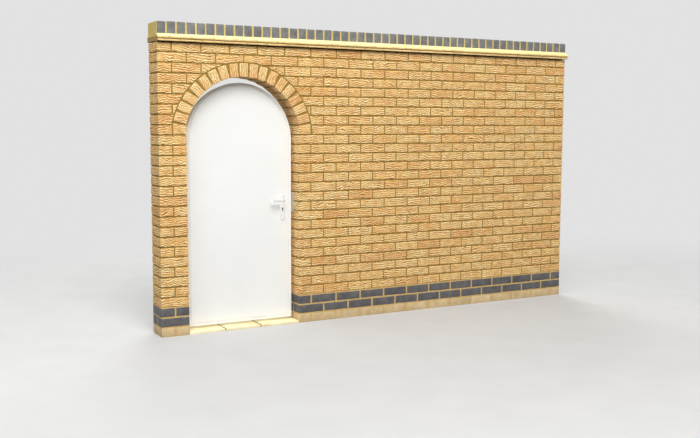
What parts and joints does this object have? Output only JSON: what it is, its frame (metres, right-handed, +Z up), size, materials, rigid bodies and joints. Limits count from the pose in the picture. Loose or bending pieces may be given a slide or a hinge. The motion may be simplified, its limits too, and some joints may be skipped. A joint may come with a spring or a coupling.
{
  "type": "arched garden gateway",
  "caption": "Straight brick garden wall with a round-arched doorway: arched white door on strap hinges with a lever latch, tile creasing and brick-on-edge coping.",
  "frame": {"origin": "middle of the part's box at the foot of the wall", "axes": "+X along the wall from the doorway end to the free end, +Y through the wall from the garden face to the far face, +Z up"},
  "size_m": [3.831, 0.265, 2.3145],
  "materials": {
    "brick_buff": "rustic golden buff facing brick",
    "brick_smooth": "smooth buff brick",
    "brick_blue": "dark blue-grey brick",
    "mortar": "ochre mortar",
    "mortar_yellow": "yellow mortar",
    "fillet": "cream mortar",
    "tile": "plain clay tile",
    "slab": "riven pale stone",
    "white_leaf": "white satin paint",
    "black_iron": "black satin paint",
    "satin_metal": "satin"
  },
  "bodies": {
    "wall": {"base_course_left": "brick_smooth", "base_course_right": "brick_smooth", "plinth_left": "brick_blue", "plinth_right": "brick_blue", "left_pier": "brick_buff", "right_pier": "brick_buff", "long_wall": "brick_buff", "wall_over_doorway": "brick_buff", "arch_bricks": "brick_buff", "arch_mortar": "mortar", "creasing_mortar": "mortar", "creasing_lower": "tile", "creasing_upper": "tile", "fillet": "fillet", "coping_bricks": "brick_blue", "coping_mortar": "mortar_yellow", "threshold_slabs": "slab", "threshold_joints": "mortar", "keep_plate": "satin_metal", "hook_bottom": "black_iron", "hook_middle": "black_iron", "hook_top": "black_iron"},
    "door": {"leaf_panel": "white_leaf", "leaf_edge_band": "white_leaf", "band_bottom": "black_iron", "band_middle": "black_iron", "band_top": "black_iron", "lock_forend": "satin_metal", "backplate_front": "satin_metal", "backplate_back": "satin_metal"},
    "lever": {"lever_front": "satin_metal", "lever_back": "satin_metal", "spindle": "satin_metal"}
  },
  "joints": [
    {"name": "door_hinge", "type": "hinge", "parent": "wall", "child": "door", "pos_m": [-1.6774, 0.0725, 0.826], "axis": [0, 0, 1], "range_deg": [0, 100]},
    {"name": "lever_turn", "type": "hinge", "parent": "door", "child": "lever", "pos_m": [-0.8905, 0.0125, 0.977], "axis": [0, -1, 0], "range_deg": [0, 40], "stiffness_Nm_per_rad": 1.5, "springref_deg": -22.92}
  ]
}
